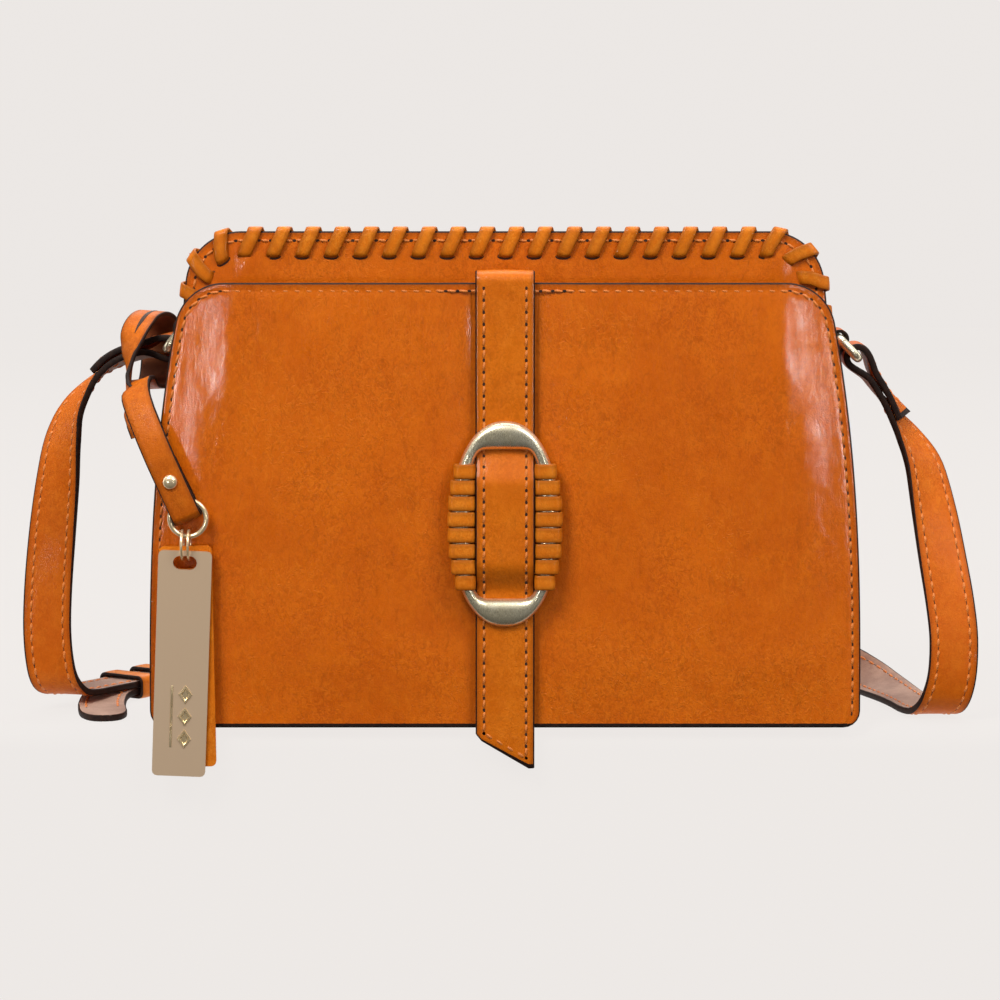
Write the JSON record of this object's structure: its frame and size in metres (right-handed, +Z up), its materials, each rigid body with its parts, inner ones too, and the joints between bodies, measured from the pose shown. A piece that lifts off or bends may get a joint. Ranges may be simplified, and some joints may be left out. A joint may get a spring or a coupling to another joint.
{
  "type": "sling bag",
  "caption": "Small leather sling bag with a laced front wall, slip pocket under a ringed tab, zip top, buckled shoulder strap and hanging charm.",
  "frame": {"origin": "centre of the flat underside of the body", "axes": "+Z up, the laced front faces -Y, +X points to the viewer's right seen from the front"},
  "size_m": [0.3471, 0.193, 0.1952],
  "materials": {
    "leather": "glazed",
    "lace_leather": "waxed",
    "lining": "suede",
    "board": "matte",
    "tape": "woven",
    "brass": "brushed",
    "tag_metal": "satin"
  },
  "bodies": {
    "bag": {"front_pocket_panel": "leather", "pocket_gusset": "leather", "main_front_panel": "leather", "whip_lace": "lace_leather", "main_gusset": "leather", "back_panel": "leather", "base_board": "board", "lining": "lining", "inner_pocket": "lining", "zip_strip_front": "leather", "zip_strip_back": "leather", "zip_tape_front": "tape", "zip_tape_back": "tape", "zip_teeth_front": "brass", "zip_teeth_back": "brass", "zip_stop_left": "brass", "zip_stop_right": "brass", "tab_anchor": "lace_leather", "snap_socket": "brass", "ring_tab_left": "leather", "ring_tab_right": "leather", "strap_long": "leather", "strap_short": "leather", "buckle_frame": "brass", "keeper_fixed": "lace_leather", "charm_strip": "lace_leather", "charm_rivet": "brass", "charm_o_ring": "brass"},
    "tab": {"closure_tab": "lace_leather", "oval_ring": "brass", "ring_lace_left": "lace_leather", "ring_lace_right": "lace_leather", "snap_cap": "brass"},
    "slider": {"zip_slider": "brass"},
    "pull": {"zip_puller": "brass", "zip_pull_leather": "lace_leather"},
    "ring_on_left": {"d_ring_left": "brass"},
    "ring_on_right": {"d_ring_right": "brass"},
    "jump_rings": {"jump_ring_left": "brass", "jump_ring_right": "brass"},
    "tag": {"tag_plate": "tag_metal", "tag_leather": "lace_leather"},
    "loose_keeper": {"keeper_sliding": "lace_leather"}
  },
  "joints": [
    {"name": "tab_fold", "type": "hinge", "parent": "bag", "child": "tab", "pos_m": [0, -0.0301, 0.1643], "axis": [-1, 0, 0], "range_deg": [0, 115]},
    {"name": "zip_slide", "type": "slide", "parent": "bag", "child": "slider", "axis": [1, 0, 0], "range_m": [0, 0.15]},
    {"name": "pull_hinge", "type": "hinge", "parent": "slider", "child": "pull", "pos_m": [-0.0767, 0.007, 0.167], "axis": [0, 1, 0], "range_deg": [0, 150]},
    {"name": "left_ring_swing", "type": "hinge", "parent": "bag", "child": "ring_on_left", "pos_m": [-0.1168, 0.007, 0.1415], "axis": [0, 1, 0], "range_deg": [-5, 5]},
    {"name": "right_ring_swing", "type": "hinge", "parent": "bag", "child": "ring_on_right", "pos_m": [0.1213, 0.007, 0.1373], "axis": [0, 1, 0], "range_deg": [-5, 5]},
    {"name": "jump_ring_swing", "type": "hinge", "parent": "bag", "child": "jump_rings", "pos_m": [-0.1123, -0.037, 0.06995], "axis": [-1, 0, 0], "range_deg": [0, 35]},
    {"name": "tag_swing", "type": "hinge", "parent": "jump_rings", "child": "tag", "pos_m": [-0.1134, -0.037, 0.0616], "axis": [-1, 0, 0], "range_deg": [0, 10]},
    {"name": "keeper_slide", "type": "slide", "parent": "bag", "child": "loose_keeper", "axis": [0.5633, 0.8262, 0], "range_m": [0, 0.008]}
  ]
}
